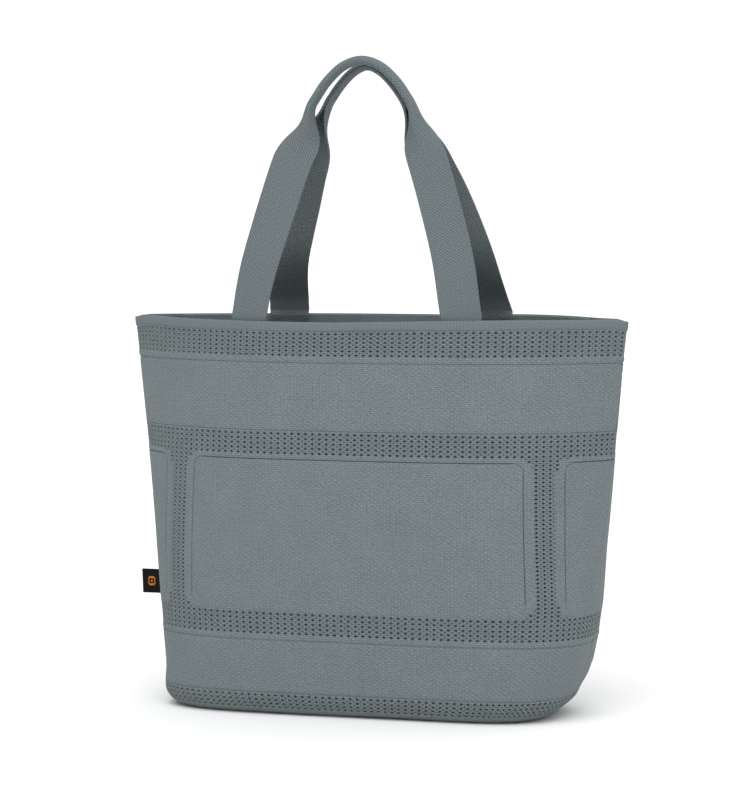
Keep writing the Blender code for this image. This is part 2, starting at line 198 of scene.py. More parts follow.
def run_along(x, y):
    """Distance along a polyline from its start to each of its points."""
    return np.concatenate([[0.0], np.cumsum(np.hypot(np.diff(x), np.diff(y)))])


# ---------------------------------------------------------------- shape of the bag

def bulged(base, bulge, mouth, height):
    """A value that runs evenly from the base to the mouth, with a bulge added at mid height."""
    share = min(max(height / RIM_HEIGHT, 0.0), 1.0)
    return blend(base, mouth, share) + bulge * 4.0 * share * (1.0 - share)


def half_width_at(height):
    return bulged(BASE_HALF_WIDTH, WIDTH_BULGE, MOUTH_HALF_WIDTH, height)


def half_depth_at(height):
    return bulged(BASE_HALF_DEPTH, DEPTH_BULGE, MOUTH_HALF_DEPTH, height)


def outline_line(side, height, inset_x, inset_y):
    """Fine polyline of a quarter outline from its middle to the seam: run, x and depth."""
    power_x = bulged(*SQUARENESS_X[side], height)
    power_y = bulged(*SQUARENESS_Y[side], height)
    steps = np.linspace(0.0, 1.0, 201)
    angles = np.unique(np.concatenate([np.arccos(steps ** (power_x / 2.0)),
                                       np.arcsin(steps ** (power_y / 2.0))]))[::-1]
    x = (half_width_at(height) - inset_x) * np.cos(angles).clip(0.0) ** (2.0 / power_x)
    depth = (half_depth_at(height) - inset_y) * np.sin(angles).clip(0.0) ** (2.0 / power_y)
    return run_along(x, depth), x, depth


def seam_inset(height, inset):
    """Inset along X that keeps the same cloth thickness where the mouth comes to a point."""
    return inset * blend(KNIT_THICKNESS, SEAM_THICKNESS, height / RIM_HEIGHT) / KNIT_THICKNESS


class Skin:
    """One side of the bag as a surface: any level, share of the way to a seam, and depth.

    A level is the height on the wall, and runs on round the base bend below BASE_RADIUS.
    """

    SHARES = 301

    def __init__(self, side):
        self.side = side
        quarter_turn = BASE_RADIUS * math.pi / 2.0
        lowest = BASE_RADIUS - quarter_turn - BASE_TURN_IN
        straight = RIM_HEIGHT - STRAIGHT_BAND
        self.levels = np.concatenate([np.linspace(lowest, BASE_RADIUS, 40),
                                      np.linspace(BASE_RADIUS, straight, 160)[1:], [RIM_HEIGHT]])
        self.skins = []
        for inset in (0.0, KNIT_THICKNESS):
            rows = []
            for level in self.levels:
                if level >= BASE_RADIUS:
                    across, inward, height = seam_inset(level, inset), inset, level
                else:
                    arc = BASE_RADIUS - level
                    angle = min(arc / BASE_RADIUS, math.pi / 2.0)
                    radius = BASE_RADIUS - inset
                    inward = BASE_RADIUS - radius * math.cos(angle) + max(arc - quarter_turn, 0.0)
                    across = inward
                    height = BASE_RADIUS - radius * math.sin(angle)
                run, x, depth = outline_line(side, height, across, inward)
                runs = np.linspace(0.0, run[-1], self.SHARES)
                rows.append(np.stack([np.interp(runs, run, x), np.interp(runs, run, depth),
                                      np.full(self.SHARES, height)], axis=1))
            self.skins.append(np.array(rows))
        self.rim_length = outline_line(side, RIM_HEIGHT, 0.0, 0.0)[0][-1]

    def point(self, level, share, depth):
        """World points for arrays of level, share and depth below the outer face."""
        level, share, depth = np.broadcast_arrays(*(np.asarray(value, float)
                                                    for value in (level, share, depth)))
        row = np.interp(level, self.levels, np.arange(len(self.levels)))
        column = np.minimum(np.abs(share), 1.0) * (self.SHARES - 1)
        row_low = np.minimum(row.astype(int), len(self.levels) - 2)
        column_low = np.minimum(column.astype(int), self.SHARES - 2)
        across_row = (row - row_low)[..., None]
        across_column = (column - column_low)[..., None]
        faces = []
        for skin in self.skins:
            low = blend(skin[row_low, column_low], skin[row_low, column_low + 1], across_column)
            high = blend(skin[row_low + 1, column_low], skin[row_low + 1, column_low + 1],
                         across_column)
            faces.append(blend(low, high, across_row))
        place = faces[0] + (faces[1] - faces[0]) * (depth / KNIT_THICKNESS)[..., None]
        x = np.copysign(place[..., 0], share)
        y = self.side * np.maximum(place[..., 1], SEAM_HALF_GAP)
        z = place[..., 2] + np.maximum(level - RIM_HEIGHT, 0.0)
        return np.stack([x, y, z], axis=-1)

    def rim_share(self, run):
        return np.asarray(run) / self.rim_length


SKINS = {side: Skin(side) for side in (FRONT, BACK)}


# ---------------------------------------------------------------- how the soft bag stands

RIGHT_HEIGHTS = (0.0, 8.0, 17.0, 24.0, 30.0, 37.0, 52.0, 80.0, 110.0, 160.0)
RIGHT_DRAW = (22.0, 18.0, 13.0, 11.0, 8.5, 5.0, 1.2, -1.5, -2.0, 0.0)
LEFT_SPREAD = 4.0
DIP_PLACES = (-247.0, -142.0, -80.0, -23.0, 46.0, 102.0, 158.0)
RIM_DIP = (2.0, 2.2, 3.1, 3.3, 1.8, 0.5, 0.0)
BACK_RIM_LIFT = 1.6
TIP_DROP = 2.2


def settle(points):
    """Lean of the standing bag, as far as each point is near a foot, the rim or a seam tip."""
    x, y, z = np.array(points, float).T
    right_foot = smooth_step(x, 105.0, 205.0)
    left_foot = (1.0 - smooth_step(z, 8.0, 45.0)) * smooth_step(-x, 140.0, 205.0)
    rim = smooth_step(z, 332.0, 380.0) * (1.0 - smooth_step(z, 384.0, 470.0))
    front_rim = rim * smooth_step(-y, 8.0, 60.0)
    back_right_rim = (smooth_step(x, 60.0, 140.0) * (1.0 - smooth_step(x, 190.0, 235.0))
                      * rim * smooth_step(y, 8.0, 50.0))
    tips = smooth_step(np.abs(x), 234.0, 247.0) * rim
    inward = np.interp(z, RIGHT_HEIGHTS, RIGHT_DRAW) * right_foot + LEFT_SPREAD * left_foot
    drop = np.interp(x, DIP_PLACES, RIM_DIP) * front_rim + TIP_DROP * tips
    return np.stack([x - inward, y, z - drop + BACK_RIM_LIFT * back_right_rim], axis=1)


# ---------------------------------------------------------------- meshes

def make_piece(name, points, faces, material, uv, shade=None):
    """A mesh object from points in millimetres, with its cloth map and, if given, the painted shade of
    its hollows.
    """
    mesh = bpy.data.meshes.new(name)
    mesh.from_pydata((settle(points) * MM).tolist(), [], faces)
    shell = bmesh.new()
    shell.from_mesh(mesh)
    bmesh.ops.recalc_face_normals(shell, faces=shell.faces)
    shell.to_mesh(mesh)
    shell.free()
    mesh.shade_smooth()
    mesh.set_sharp_from_angle(angle=CREASE_ANGLE)
    corners = np.empty(len(mesh.loops), np.int32)
    mesh.loops.foreach_get("vertex_index", corners)
    layer = mesh.uv_layers.new(name="cloth_mm")
    layer.data.foreach_set("uv", np.asarray(uv, np.float32)[corners].ravel())
    if shade is not None:
        attribute = mesh.attributes.new("hollow_shade", "FLOAT", "POINT")
        attribute.data.foreach_set("value", np.asarray(shade, np.float32))
    mesh.materials.append(material)
    item = bpy.data.objects.new(name, mesh)
    bpy.context.collection.objects.link(item)
    return item


def ring_faces(rings, size):
    """Quads between successive rings of points, and a cap at each end."""
    last = (rings - 1) * size
    faces = [tuple(range(size)), tuple(range(last + size - 1, last - 1, -1))]
    for first in range(0, last, size):
        ring = list(range(first, first + size))
        faces += joined(ring, [corner + size for corner in ring])
    return faces


def joined(first, second):
    """Quads that join two rings of vertices."""
    return list(zip(first, first[1:] + first[:1], second[1:] + second[:1], second))


def fan(ring, centre):
    """Triangles from a ring of vertices to its centre."""
    return [(start, end, centre) for start, end in zip(ring, ring[1:] + ring[:1])]


# ---------------------------------------------------------------- knit panels

OPEN = ("big", "small")


def ridge_at(places, middles):
    """1 on each of the middles, and an even fall to 0 one place away."""
    return np.max([1.0 - np.abs(places - middle) for middle in middles], axis=0).clip(0.0)


def unevenness(share, level):
    """Soft hand of the cloth: slow waves of a few tenths of a millimetre, fading at the seams."""
    u = share * CLOTH_HALF_WIDTH
    waves = np.sin(u / 41.0 + 1.3) * np.sin(level / 53.0 + 0.4) + 0.6 * np.sin(u / 23.0 - level / 31.0)
    return 0.22 * waves * np.clip((1.0 - np.abs(share)) * 12.0, 0.0, 1.0)


class KnitPanel:
    """One knitted side of the bag: diamond cells, some of them open or dimpled."""

    def __init__(self, side):
        self.skin = SKINS[side]
        self.index = {}
        self.places = []
        self.faces = []
        self.lay_rows()

    def lay_rows(self):
        """Levels of the half rows, twice: as in the mesh strips, and as in the framed panels."""
        levels = [HEM_BOTTOM + 1.2, HEM_BOTTOM, HEM_BOTTOM - 0.6]
        self.zone_of_row = ["plain", "plain"]
        middles = {"groove": [], "border": []}
        for bottom, count, kind in ZONES:
            top = levels[-1]
            first = len(levels) - 1
            levels += [blend(top, bottom, (step + 1) / count) for step in range(count)]
            self.zone_of_row += [kind] * count
            if kind in middles:
                middles[kind].append(first + 1)
            if kind == "frame":
                self.frame_rows = (first + 2, first + count - 2)
        self.grooves = middles["groove"]
        self.borders = middles["border"]
        self.levels = np.array(levels)
        self.framed = self.levels.copy()
        for row, level in zip(self.frame_rows, (FRAME_TOP - TOP_LINE_INSET, FRAME_BOTTOM + 5.0)):
            for step in (-1, 0, 1):
                self.framed[row + step] = level - step * GROOVE_HALF_WIDTH
        self.last_row = len(levels) - 1

    def level_at(self, column, row):
        """Level of a lattice place: the framed panels gather three rows at each of their lines."""
        along = np.arange(len(self.levels))
        column = np.abs(column)
        inside = np.clip(STRIP_INNER - column, 0.0, 1.0) + np.clip(column - STRIP_OUTER, 0.0, 1.0)
        return blend(np.interp(row, along, self.levels), np.interp(row, along, self.framed), inside)

    def line_pull(self, column, row):
        """Shift of the columns beside an upright frame line, so that the line stays narrow."""
        top, bottom = self.frame_rows
        weight = np.clip(row - top - 4, 0.0, 2.0) / 2.0 * np.clip(bottom - 4 - row, 0.0, 2.0) / 2.0
        away = np.abs(column)
        shift = np.zeros_like(away)
        narrow = 0.5 / HALF_COLUMN_WIDTH
        for middle, line in FRAME_LINES:
            knots = [middle + step for step in (-2, -1, 0, 1, 2)]
            laid = (middle - 2, line - narrow, line, line + narrow, middle + 2)
            near = np.abs(away - middle) < 2
            shift = np.where(near, np.interp(away, knots, laid) - away, shift)
        return shift * weight * np.sign(column)

    def in_frame(self, column, row):
        """True where a cell of the frame zone belongs to a smooth panel and not to the mesh."""
        half_height = (FRAME_TOP - FRAME_BOTTOM) / 2.0
        from_middle = abs(float(self.levels[row]) - (FRAME_TOP + FRAME_BOTTOM) / 2.0)
        over_z = max(from_middle - (half_height - FRAME_CORNER), 0.0)
        for edge, hand in ((STRIP_INNER, 1.0), (STRIP_OUTER, -1.0)):
            over_x = max(hand * (abs(column) - edge) * COLUMN_PITCH + FRAME_CORNER, 0.0)
            if math.hypot(over_x, over_z) <= FRAME_CORNER + 0.01:
                return True
        return False

    def kind(self, column, row):
        """Kind of the cell centred on a lattice place."""
        if not 0 < row < self.last_row or abs(column) >= HALF_COLUMNS:
            return "plain"
        zones = {self.zone_of_row[row - 1], self.zone_of_row[row]}
        if zones == {"mesh"} or zones <= {"mesh", "frame"} and not self.in_frame(column, row):
            return "big" if column % 2 else "small"
        lined = any(abs(row - groove) <= 1 for groove in self.grooves)
        if "frame" in zones:
            lined |= any(abs(row - line) <= 1 for line in self.frame_rows)
            lined |= any(abs(abs(column) - middle) <= 1 for middle, _ in FRAME_LINES)
        return "fine" if lined else "plain"

    def vertex(self, inner, column, row, sink=0.0, softness=0.0):
        """Number of the vertex at a lattice place, which is made when it is first asked for."""
        key = (inner, round(column * 64), round(row * 64), round(sink * 100))
        if key not in self.index:
            self.index[key] = len(self.places)
            self.places.append((inner, column, row, sink, softness))
        return self.index[key]

    def edge_of_cell(self, column, row, kinds):
        """Corners and side middles of a cell, each with the share of open cells around it."""
        sides = ((-1, 0), (0, 1), (1, 0), (0, -1))
        edge = []
        for turn, (right, down) in enumerate(sides):
            x, y = column + right, row + down
            if abs(x) > HALF_COLUMNS or not 0 <= y <= self.last_row:
                continue
            around = [kinds.get((x + step, y + fall), "plain") for step, fall in sides]
            edge.append((x, y, sum(kind in OPEN for kind in around) / 4.0))
            step, fall = sides[(turn + 1) % 4]
            across = kinds.get((x + step, y + fall), "plain")
            softness = ((kinds[column, row] in OPEN) + (across in OPEN)) / 2.0
            if softness:
                edge.append((column + (right + step) / 2.0, row + (down + fall) / 2.0, softness))
        if abs(column) == HALF_COLUMNS and row in (0, self.last_row):
            edge.append((column, row, 0.0))
            nudge = 0.01 if row == 0 else -0.01
            edge.sort(key=lambda place: math.atan2(place[1] - row + nudge, place[0] - column * 0.999))
        return edge

    def add_cell(self, column, row, kinds):
        """The faces of one cell on both skins, with its pit, its dimple or a finer middle."""
        kind = kinds[column, row]
        edge = self.edge_of_cell(column, row, kinds)
        outer, inner = ([self.vertex(inside, *place[:2], 0.0, place[2]) for place in edge]
                        for inside in (False, True))

        def ring(width, height, sink):
            angles = [math.atan2(y - row, x - column) for x, y, _ in edge]
            return [self.vertex(False, column + width / HALF_COLUMN_WIDTH * math.cos(angle),
                                row + height / HALF_ROW_HEIGHT * math.sin(angle), sink, 1.0)
                    for angle in angles]

        if kind == "big":
            rim = ring(*BIG_HOLE, HOLE_ROUNDING)
            floor = ring(*(PIT_FLOOR * size for size in BIG_HOLE), PIT_DEPTH)
            self.faces += joined(outer, rim) + joined(rim, floor) + [tuple(floor)]
        elif kind == "small":
            rim = ring(*SMALL_HOLE, DIMPLE_ROUNDING)
            centre = self.vertex(False, column, row, DIMPLE_DEPTH, 1.0)
            self.faces += joined(outer, rim) + fan(rim, centre)
        elif kind == "fine":
            self.faces += fan(outer, self.vertex(False, column, row))
        else:
            self.faces.append(tuple(outer))
        self.faces.append(tuple(reversed(inner)))

    def add_edges(self):
        """The cut edges that join the outer skin to the inner one."""
        last, width = self.last_row, HALF_COLUMNS
        chain = [(-width, 0)] + [(column, 0) for column in range(1 - width, width, 2)] + [(width, 0)]
        chain += [(width, row) for row in range(1, last, 2)] + [(width, last)]
        chain += [(column, last) for column in range(width - 1, -width, -2)] + [(-width, last)]
        chain += [(-width, row) for row in range(last - 1, 0, -2)]
        for start, end in zip(chain, chain[1:] + chain[:1]):
            self.faces.append((self.vertex(False, *start), self.vertex(False, *end),
                               self.vertex(True, *end), self.vertex(True, *start)))

    def relief(self, column, row, softness):
        """Depth of the outer face below the plain surface, and the painted shade in its grooves."""
        away = np.abs(column)
        top, bottom = self.frame_rows
        groove = ridge_at(row, self.grooves)
        panels = (away <= INNER_LINE - 2.6) | (away >= OUTER_LINE + 2.6)
        uprights = (row > top + 5) & (row < bottom - 5)
        frame = np.maximum(panels * ridge_at(row, [top]),
                           uprights * ridge_at(away, [middle for middle, _ in FRAME_LINES]))
        seam = np.clip(away - HALF_COLUMNS + 1.0, 0.0, 1.0)
        depth = (MESH_SINK * softness + GROOVE_DEPTH * np.maximum(0.7 * groove, frame)
                 - BORDER_RISE * ridge_at(row, self.borders) + SEAM_SINK * seam)
        return depth, np.maximum(GROOVE_SHADE * groove, FRAME_SHADE * frame)

    def build(self, name, material):
        places = [(column, row) for column in range(-HALF_COLUMNS, HALF_COLUMNS + 1)
                  for row in range(self.last_row + 1) if (column + row) % 2 == 0]
        kinds = {place: self.kind(*place) for place in places}
        for column, row in places:
            self.add_cell(column, row, kinds)
        self.add_edges()
        inner, column, row, sink, softness = np.array(self.places, float).T
        share = (column + self.line_pull(column, row)) / HALF_COLUMNS
        level = self.level_at(column, row)
        # the columns keep their pitch as the bag narrows, and crowd together at the seams
        spread = COLUMN_SPREAD * (1.0 - smooth_step(level, FRAME_BOTTOM, FRAME_TOP))
        laid = share * (1.0 + spread * (1.0 - share * share))
        relief, shade = self.relief(column, row, softness)
        depth = np.where(inner, KNIT_THICKNESS - 0.15 * softness, relief + sink)
        points = self.skin.point(level, laid, depth + unevenness(share, level))
        uv = np.stack([share * CLOTH_HALF_WIDTH, level], axis=1)
        # painted shade: the mesh, its pits and dimples and the grooves are darkened in colour, and the
        # inner face near the openings too
        hollow_shade = np.clip(MESH_SHADE * softness + PIT_SHADE * sink + shade, 0.0, 1.0)
        hollow_shade = np.where(inner, INNER_SHADE * softness, hollow_shade)
        return make_piece(name, points, self.faces, material, uv, hollow_shade)


def add_knit_panels(knit, hems):
    for prefix, side in SIDES:
        piece = KnitPanel(side).build(f"{prefix}_knit", knit)
        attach(piece, "root")
        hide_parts(f"{prefix}_knit_panel")


# ---------------------------------------------------------------- hem, facing, seams, base

HEM_PROFILE = ((HEM_BOTTOM + 0.4, 0.6), (HEM_BOTTOM - 0.1, -0.1), (HEM_BOTTOM + 0.3, -0.6),
               (HEM_BOTTOM + 1.4, -0.85), (HEM_BOTTOM + 3.2, -0.95), (HEM_BOTTOM + 5.4, -0.95),
               (HEM_BOTTOM + 7.2, -0.8), (RIM_HEIGHT + 0.1, -0.45), (RIM_HEIGHT + 0.7, 0.3),
               (RIM_HEIGHT + 0.8, 1.1), (RIM_HEIGHT + 0.5, 1.9), (RIM_HEIGHT - 0.4, 2.35),
               (HEM_BOTTOM + 5.0, 2.5), (HEM_BOTTOM + 0.8, 2.5), (HEM_BOTTOM + 0.5, 1.8))
FACING_PROFILE = ((356.2, 2.75), (368.0, 2.72), (379.4, 2.72), (379.7, 3.1),
                  (379.3, 3.6), (368.0, 3.62), (356.4, 3.6), (356.0, 3.2))
SEAM_PROFILE = ((0.0, -1.2), (0.0, 1.2), (-4.0, 1.35), (-8.2, 1.2), (-9.0, 0.5), (-9.0, -0.5),
                (-8.2, -1.2), (-4.0, -1.35))
RIB_PITCH = 2.1
RIB_DEPTH = 0.12


def strip_round(name, side, profile, columns, material, reach=1.0, ribs=0.0):
    """A closed strip along the rim with a fixed section of (level, depth) points."""
    level, depth = np.array(profile).T
    share, grid_level = np.meshgrid(np.linspace(-reach, reach, columns), level, indexing="ij")
    grid_depth = np.broadcast_to(depth, share.shape).copy()
    flush = smooth_step(np.abs(share), 0.86, 1.0)
    grid_depth = np.where(grid_depth < 0.0, grid_depth * (1.0 - 0.75 * flush), grid_depth)
    grid_depth -= (depth < 1.0) * ribs * np.cos(share * HEM_HALF_WIDTH * math.tau / RIB_PITCH)
    grid_depth += unevenness(share, grid_level)
    points = SKINS[side].point(grid_level, share, grid_depth).reshape(-1, 3)
    around = np.broadcast_to(run_along(level, depth), share.shape)
    uv = np.stack([share * HEM_HALF_WIDTH, around], axis=-1).reshape(-1, 2)
    return make_piece(name, points, ring_faces(columns, len(profile)), material, uv)


def add_rims(hem, tape):
    hems = {}
    for prefix, side in SIDES:
        piece = strip_round(f"{prefix}_rim_hem", side, HEM_PROFILE, 1015, hem, ribs=RIB_DEPTH)
        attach(piece, "root")
        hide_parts(f"{prefix}_knit_panel")
        facing = strip_round(f"{prefix}_facing_tape", side, FACING_PROFILE, 181, tape, reach=0.83)
        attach(facing, "root")
        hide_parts(f"{prefix}_rim_facing")
        hems[side] = piece
    return hems


def add_seam_bindings(tape):
    """The bound seam allowances that stand inward from the side seams."""
    levels = np.linspace(34.0, 353.0, 90)
    for name, hand in HANDS:
        points = []
        for level in levels:
            seam = half_width_at(level) - seam_inset(level, KNIT_THICKNESS) - 3.0
            points += [(hand * (seam + x), y, level) for x, y in SEAM_PROFILE]
        uv = [(x, level) for level in levels for x, _ in SEAM_PROFILE]
        faces = ring_faces(len(levels), len(SEAM_PROFILE))
        piece = make_piece(f"{name}_seam_tape", points, faces, tape, uv)
        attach(piece, "root")
        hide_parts(f"{name}_side_seam_binding")


BASE_COLUMNS = 121
DEEPEST_INSET = 70.0


def base_loop(inset):
    """Points round the base at an inset from the bag's outline, drawn together in the middle."""
    halves = []
    for side in (FRONT, BACK):
        run, x, depth = outline_line(side, 0.0, min(inset, DEEPEST_INSET), min(inset, DEEPEST_INSET))
        runs = np.linspace(-run[-1], run[-1], BASE_COLUMNS)
        half = np.stack([np.copysign(np.interp(np.abs(runs), run, x), runs),
                         side * np.maximum(np.interp(np.abs(runs), run, depth), 0.0)], axis=1)
        halves.append(half[:-1] if side == FRONT else half[::-1][:-1])
    loop = np.concatenate(halves)
    return loop * (1.0, 0.2) if inset > DEEPEST_INSET else loop


def base_sheet(name, lower, material):
    """A flat sheet inside the bag's outline, from (inset, height) rings up to its middle height."""
    middle = lower[-1][1]
    rings = [*lower, *((inset, 2.0 * middle - height) for inset, height in reversed(lower[:-1]))]
    points = [(x, y, height) for inset, height in rings for x, y in base_loop(inset)]
    faces = ring_faces(len(rings), 2 * (BASE_COLUMNS - 1))
    return make_piece(name, points, faces, material, [point[:2] for point in points])


def add_base_knit(knit):
    """The knitted base, with a soft edge where it meets the walls."""
    inset = BASE_RADIUS + BASE_TURN_IN + 0.3
    lower = ((inset + 60.0, 0.0), (inset + 30.0, 0.0), (inset + 1.2, 0.0), (inset + 0.3, 0.4),
             (inset, KNIT_THICKNESS / 2.0))
    piece = base_sheet("base_knit", lower, knit)
    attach(piece, "root")
    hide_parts("base_knit_panel")


def add_base_board(board):
    """Stiff sheet under the goods, with a rolled edge and rounded corners."""
    lower = ((90.0, 2.5), (30.0, 2.5), (25.2, 2.5), (24.5, 2.8), (24.2, 3.5))
    piece = base_sheet("bag_base_board", lower, board)
    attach(piece, "root")
    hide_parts("base_board")


# ---------------------------------------------------------------- webbing and handles

def catmull_rom(points, share):
    """Point on a smooth curve through a list of points, for a share from 0 to 1."""
    padded = [points[0] * 2.0 - points[1], *points, points[-1] * 2.0 - points[-2]]
    place = min(share, 1.0 - 1e-9) * (len(points) - 1)
    index = int(place)
    t = place - index
    a, b, c, d = padded[index:index + 4]
    return 0.5 * (2.0 * b + (c - a) * t + (2.0 * a - 5.0 * b + 4.0 * c - d) * t * t
                  + (3.0 * b - a - 3.0 * c + d) * t ** 3)


def arch_stations(side, arch, spacing):
    """Evenly spaced centre points and tangents of a handle, from its right end to its left."""
    skin = SKINS[side]
    start = Vector(skin.point(RIM_HEIGHT, skin.rim_share(STRAP_CENTRE),
                              STRAP_INSET + WEBBING_THICKNESS / 2.0))
    start.z = RIM_HEIGHT + STRAP_END_RISE + STRAP_PARTING
    right = [start] + [Vector((x, y, RIM_HEIGHT + rise)) for x, y, rise in arch]
    left = [Vector((-point.x, point.y, point.z)) for point in reversed(right[:-1])]
    fine = [catmull_rom(right + left, step / 1200.0) for step in range(1201)]
    runs = [0.0]
    for before, after in zip(fine, fine[1:]):
        runs.append(runs[-1] + (after - before).length)
    count = round(runs[-1] / spacing)
    stations = []
    for step in range(count + 1):
        target = runs[-1] * step / count
        index = min(max(int(np.searchsorted(runs, target)), 1), len(runs) - 1)
        share = (target - runs[index - 1]) / (runs[index] - runs[index - 1])
        tangent = (fine[index] - fine[index - 1]).normalized()
        stations.append((fine[index - 1].lerp(fine[index], share), tangent, target))
    return stations


def grip_ellipse(half_thickness, half_depth, columns, slit):
    """Mid line of the rolled webbing, from one edge round to the other, open at the slit."""
    angles = np.linspace(0.0, math.pi, 401)
    across = half_thickness * np.sin(angles)
    outward = half_depth * np.cos(angles)
    runs = run_along(across, outward)
    wanted = np.linspace(0.0, runs[-1] - slit / 2.0, columns // 2 + 1)
    half = list(zip(np.interp(wanted, runs, across), np.interp(wanted, runs, outward)))
    return [(-x, y) for x, y in reversed(half[1:])] + half


def rolled_section(roll, columns):
    """Mid line of the webbing when it is rolled by a share of the way, with its outward normals."""
    full = grip_ellipse(GRIP_HALF_THICKNESS - WEBBING_THICKNESS / 2.0,
                        GRIP_HALF_DEPTH - WEBBING_THICKNESS / 2.0, columns, GRIP_SLIT)
    middle = columns // 2
    flat_step = WEBBING_WIDTH / columns
    half = [(0.0, full[middle][1] * roll)]
    for before, after in zip(full[middle:], full[middle + 1:]):
        turn = roll * math.atan2(before[1] - after[1], after[0] - before[0])
        step = blend(flat_step, math.dist(before, after), roll)
        half.append((half[-1][0] + step * math.cos(turn), half[-1][1] - step * math.sin(turn)))
    line = [(-x, y) for x, y in reversed(half[1:])] + half
    normals = []
    for index in range(len(line)):
        before = line[max(index - 1, 0)]
        after = line[min(index + 1, len(line) - 1)]
        length = math.dist(before, after)
        normals.append((-(after[1] - before[1]) / length, (after[0] - before[0]) / length))
    return line, normals


def handle_frame(side, point, tangent):
    """Sideways and outward directions of a handle at a point on its centre line."""
    rise = point.z - RIM_HEIGHT
    hand = 1.0 if tangent.z > 0.0 else -1.0
    yaw = hand * STRAP_YAW * (1.0 - float(smooth_step(rise, 0.0, ROLL_START)))
    level = Vector((math.sin(yaw), side * math.cos(yaw), 0.0))
    square = (level - tangent * level.dot(tangent)).normalized()
    turn = float(smooth_step(rise, STRAP_END_RISE, SQUARE_RISE))
    flat = Vector((0.0, 0.0, hand)).cross(level)
    sideways = flat.lerp(tangent.cross(square), turn).normalized()
    return sideways, level.lerp(square, turn).normalized()


WEB_COLUMNS = 36
WEB_ACROSS = np.linspace(-0.5, 0.5, WEB_COLUMNS + 1) * WEBBING_WIDTH
SELVEDGE = 0.9
SHOULDER_SHIFT = 2.6
# how far back and to the left the back strap stands, just above the rim
BACK_UPRIGHT = 8.0
BACK_UPRIGHT_LEFT = 2.32
# how far along X the straps start beside their CAD places, by side and hand
STRAP_SHIFT = {(FRONT, -1.0): -3.6, (FRONT, 1.0): -2.2, (BACK, -1.0): -3.4, (BACK, 1.0): 0.0}


def strap_end_rows(side, hand):
    """Rows of the sewn end of a strap, up to the rim: outer points, inner points and length."""
    skin = SKINS[side]
    bottom = RIM_HEIGHT - STRAP_END_DEPTH
    shares = skin.rim_share(hand * STRAP_CENTRE + STRAP_SHIFT[side, hand] * 1.04 + WEB_ACROSS)
    return [(skin.point(level, shares, STRAP_INSET),
             skin.point(level, shares, STRAP_INSET + WEBBING_THICKNESS), level - bottom)
            for level in np.linspace(bottom, RIM_HEIGHT - 1.0, 16)]


def soft_place(side, point, roll):
    """A point of a handle's line, moved to where the soft strap stands."""
    rise = point.z - RIM_HEIGHT
    hand = 1.0 if point.x > 0.0 else -1.0
    shift = STRAP_SHIFT[side, hand] * (1.0 - float(smooth_step(rise, 2.0, 85.0)))
    if side == FRONT:
        return point + Vector((shift - hand * SHOULDER_SHIFT * 4.0 * roll * (1.0 - roll), 0.0, 0.0))
    upright = float(smooth_step(rise, -4.0, 19.0) * (1.0 - smooth_step(rise, 19.0, 74.0)))
    return point + Vector((shift - BACK_UPRIGHT_LEFT * upright, BACK_UPRIGHT * upright, 0.0))


def handle_rows(side, arch):
    """Rows of the webbing along a handle: outer points, inner points and length."""
    rows = []
    for station, tangent, along in arch_stations(side, arch, 2.2):
        sideways, outward = handle_frame(side, station, tangent)
        roll = float(smooth_step(station.z - RIM_HEIGHT, ROLL_START, ROLL_END))
        point = soft_place(side, station, roll)
        line, normals = rolled_section(roll, WEB_COLUMNS)
        outer, inner = (np.array([point + sideways * (x + across * half) + outward * (y + out * half)
                                  for (x, y), (across, out) in zip(line, normals)])
                        for half in (WEBBING_THICKNESS / 2.0, -WEBBING_THICKNESS / 2.0))
        rows.append((outer, inner, STRAP_END_DEPTH + STRAP_END_RISE + along))
    return rows


def aligned(rows):
    """The rows, turned end for end where needed, so that neighbours run the same way."""
    turned = [rows[0]]
    for outer, inner, along in rows[1:]:
        before = turned[-1][0]
        straight = np.linalg.norm(outer[0] - before[0]) + np.linalg.norm(outer[-1] - before[-1])
        crossed = np.linalg.norm(outer[0] - before[-1]) + np.linalg.norm(outer[-1] - before[0])
        if crossed < straight:
            outer, inner = outer[::-1], inner[::-1]
        turned.append((outer, inner, along))
    return turned


def webbing_ring(outer, inner):
    """A closed ring round the webbing's section, with rounded selvedges."""
    bulge = WEBBING_THICKNESS * 0.28
    first_out = (outer[0] - outer[1]) / np.linalg.norm(outer[0] - outer[1])
    last_out = (outer[-1] - outer[-2]) / np.linalg.norm(outer[-1] - outer[-2])
    return np.concatenate([outer, [(outer[-1] + inner[-1]) / 2.0 + last_out * bulge], inner[::-1],
                           [(outer[0] + inner[0]) / 2.0 + first_out * bulge]])


def add_handles(webbing):
    """Each strap in one length: sewn right end, handle, rolled grip and sewn left end."""
    ring_u = np.concatenate([WEB_ACROSS, [WEBBING_WIDTH / 2 + SELVEDGE], WEB_ACROSS[::-1],
                             [-WEBBING_WIDTH / 2 - SELVEDGE]])
    for (prefix, side), arch in zip(SIDES, (FRONT_ARCH, BACK_ARCH)):
        rows = strap_end_rows(side, 1.0) + handle_rows(side, arch)
        total = rows[-1][2] + STRAP_END_RISE + STRAP_END_DEPTH
        rows += [(outer, inner, total - along)
                 for outer, inner, along in reversed(strap_end_rows(side, -1.0))]
        points = np.concatenate([webbing_ring(outer, inner) for outer, inner, _ in aligned(rows)])
        uv = [(across, along) for _, _, along in rows for across in ring_u]
        faces = ring_faces(len(rows), len(ring_u))
        piece = make_piece(f"{prefix}_strap", points, faces, webbing, uv)
        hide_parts(f"{prefix}_handle_webbing", f"{prefix}_left_strap_end",
                    f"{prefix}_right_strap_end")
        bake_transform(piece)


# ---------------------------------------------------------------- threads, cords, label

STITCH_SECTIONS = ((0.0, 0.35), (0.16, 0.85), (0.5, 1.0), (0.84, 0.85), (1.0, 0.35))
STITCH_SIDES = 6


